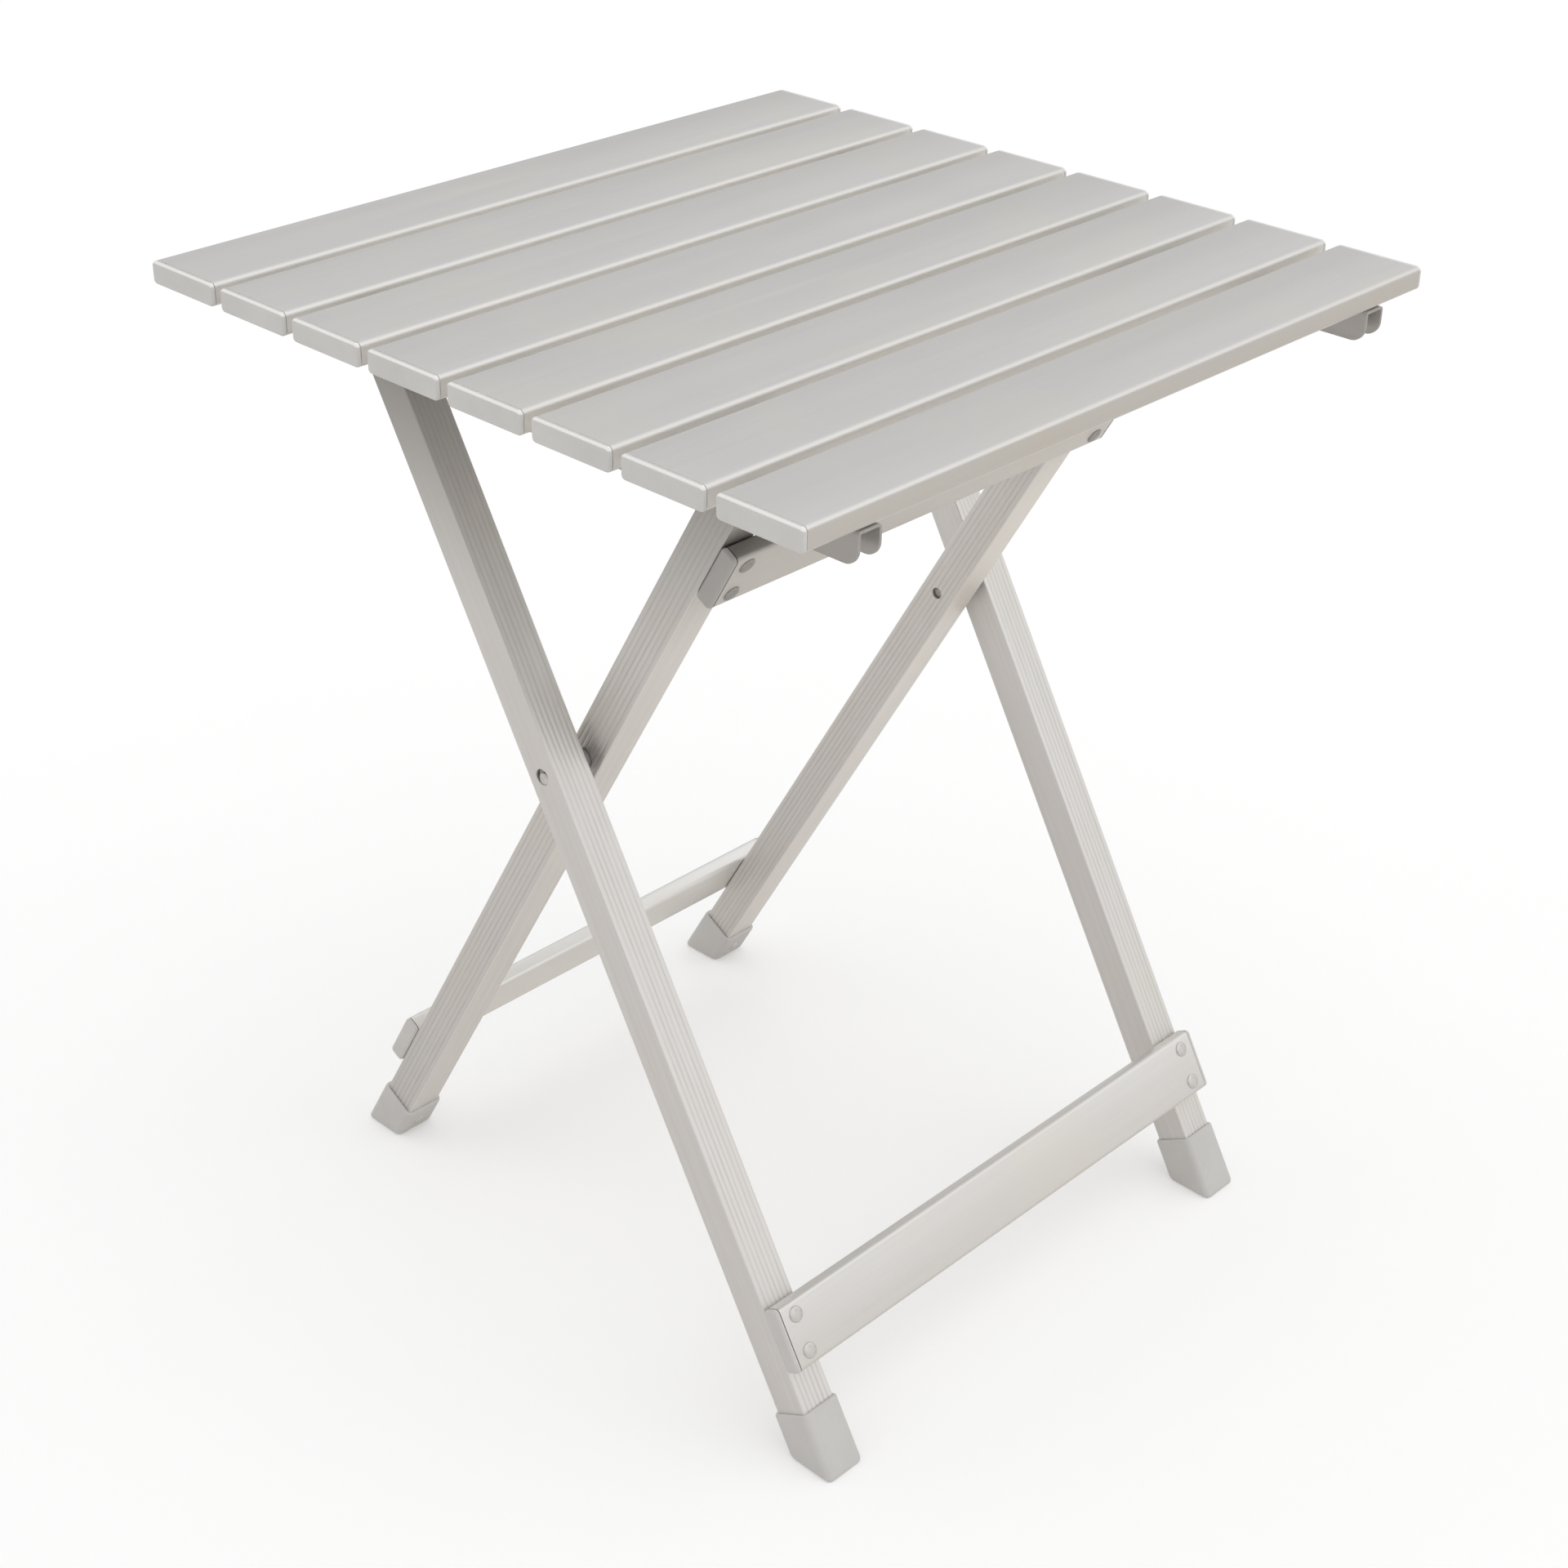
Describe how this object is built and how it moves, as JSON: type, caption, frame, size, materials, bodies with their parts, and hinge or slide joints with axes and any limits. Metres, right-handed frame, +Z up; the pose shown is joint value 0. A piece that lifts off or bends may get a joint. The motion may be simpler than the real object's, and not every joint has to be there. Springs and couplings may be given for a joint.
{
  "type": "folding side table",
  "caption": "Low folding side table with a slatted aluminium top, crossed square-tube legs, flat crossbars and moulded feet.",
  "frame": {"origin": "on the floor, under the middle of the top", "axes": "+X along the slats, +Y from the front of the table to the back, +Z up"},
  "size_m": [0.45, 0.449, 0.562],
  "materials": {
    "slat_aluminium": "satin anodised, finely brushed along the slat",
    "leg_aluminium": "satin anodised, finely grooved",
    "crossbar_aluminium": "satin anodised",
    "rail_aluminium": "satin sheet",
    "end_cap_plastic": "matt moulded, light grey",
    "boot_plastic": "matt moulded, light grey",
    "rivet_steel": "plated",
    "nylon": "matt moulded, grey"
  },
  "bodies": {
    "outer_frame": {"outer_leg_left": "leg_aluminium", "outer_leg_right": "leg_aluminium", "front_bar": "crossbar_aluminium", "front_bar_cap_left": "end_cap_plastic", "front_bar_cap_right": "end_cap_plastic", "front_boot_left": "boot_plastic", "front_boot_right": "boot_plastic", "pivot_rivet_left": "rivet_steel", "pivot_rivet_right": "rivet_steel", "pivot_spacer_left": "nylon", "pivot_spacer_right": "nylon", "hinge_pin_left": "rivet_steel", "hinge_pin_right": "rivet_steel", "hinge_washer_left": "nylon", "hinge_washer_right": "nylon"},
    "inner_frame": {"inner_leg_left": "leg_aluminium", "inner_leg_right": "leg_aluminium", "top_bar": "crossbar_aluminium", "back_bar": "crossbar_aluminium", "top_bar_cap_left": "end_cap_plastic", "top_bar_cap_right": "end_cap_plastic", "back_bar_cap_left": "end_cap_plastic", "back_bar_cap_right": "end_cap_plastic", "back_boot_left": "boot_plastic", "back_boot_right": "boot_plastic", "leg_pad_left": "nylon", "leg_pad_right": "nylon"},
    "top": {"slat_1": "slat_aluminium", "slat_2": "slat_aluminium", "slat_3": "slat_aluminium", "slat_4": "slat_aluminium", "slat_5": "slat_aluminium", "slat_6": "slat_aluminium", "slat_7": "slat_aluminium", "slat_8": "slat_aluminium", "slat_1_cap_left": "end_cap_plastic", "slat_1_cap_right": "end_cap_plastic", "slat_2_cap_left": "end_cap_plastic", "slat_2_cap_right": "end_cap_plastic", "slat_3_cap_left": "end_cap_plastic", "slat_3_cap_right": "end_cap_plastic", "slat_4_cap_left": "end_cap_plastic", "slat_4_cap_right": "end_cap_plastic", "slat_5_cap_left": "end_cap_plastic", "slat_5_cap_right": "end_cap_plastic", "slat_6_cap_left": "end_cap_plastic", "slat_6_cap_right": "end_cap_plastic", "slat_7_cap_left": "end_cap_plastic", "slat_7_cap_right": "end_cap_plastic", "slat_8_cap_left": "end_cap_plastic", "slat_8_cap_right": "end_cap_plastic", "side_rail_left_web": "rail_aluminium", "side_rail_left_inner": "rail_aluminium", "side_rail_left_outer": "rail_aluminium", "side_rail_right_web": "rail_aluminium", "side_rail_right_inner": "rail_aluminium", "side_rail_right_outer": "rail_aluminium", "catch_left": "nylon", "catch_right": "nylon"}
  },
  "joints": [
    {"name": "leg_fold", "type": "hinge", "parent": "outer_frame", "child": "inner_frame", "pos_m": [0, 0, 0.3366], "axis": [-1, 0, 0], "range_deg": [0, 60]},
    {"name": "top_swing", "type": "hinge", "parent": "outer_frame", "child": "top", "pos_m": [0, 0.11657, 0.5385], "axis": [-1, 0, 0], "range_deg": [0, 120]}
  ],
  "couplings": [
    {"joint": "top_swing", "follows": "leg_fold", "ratio": 2}
  ]
}
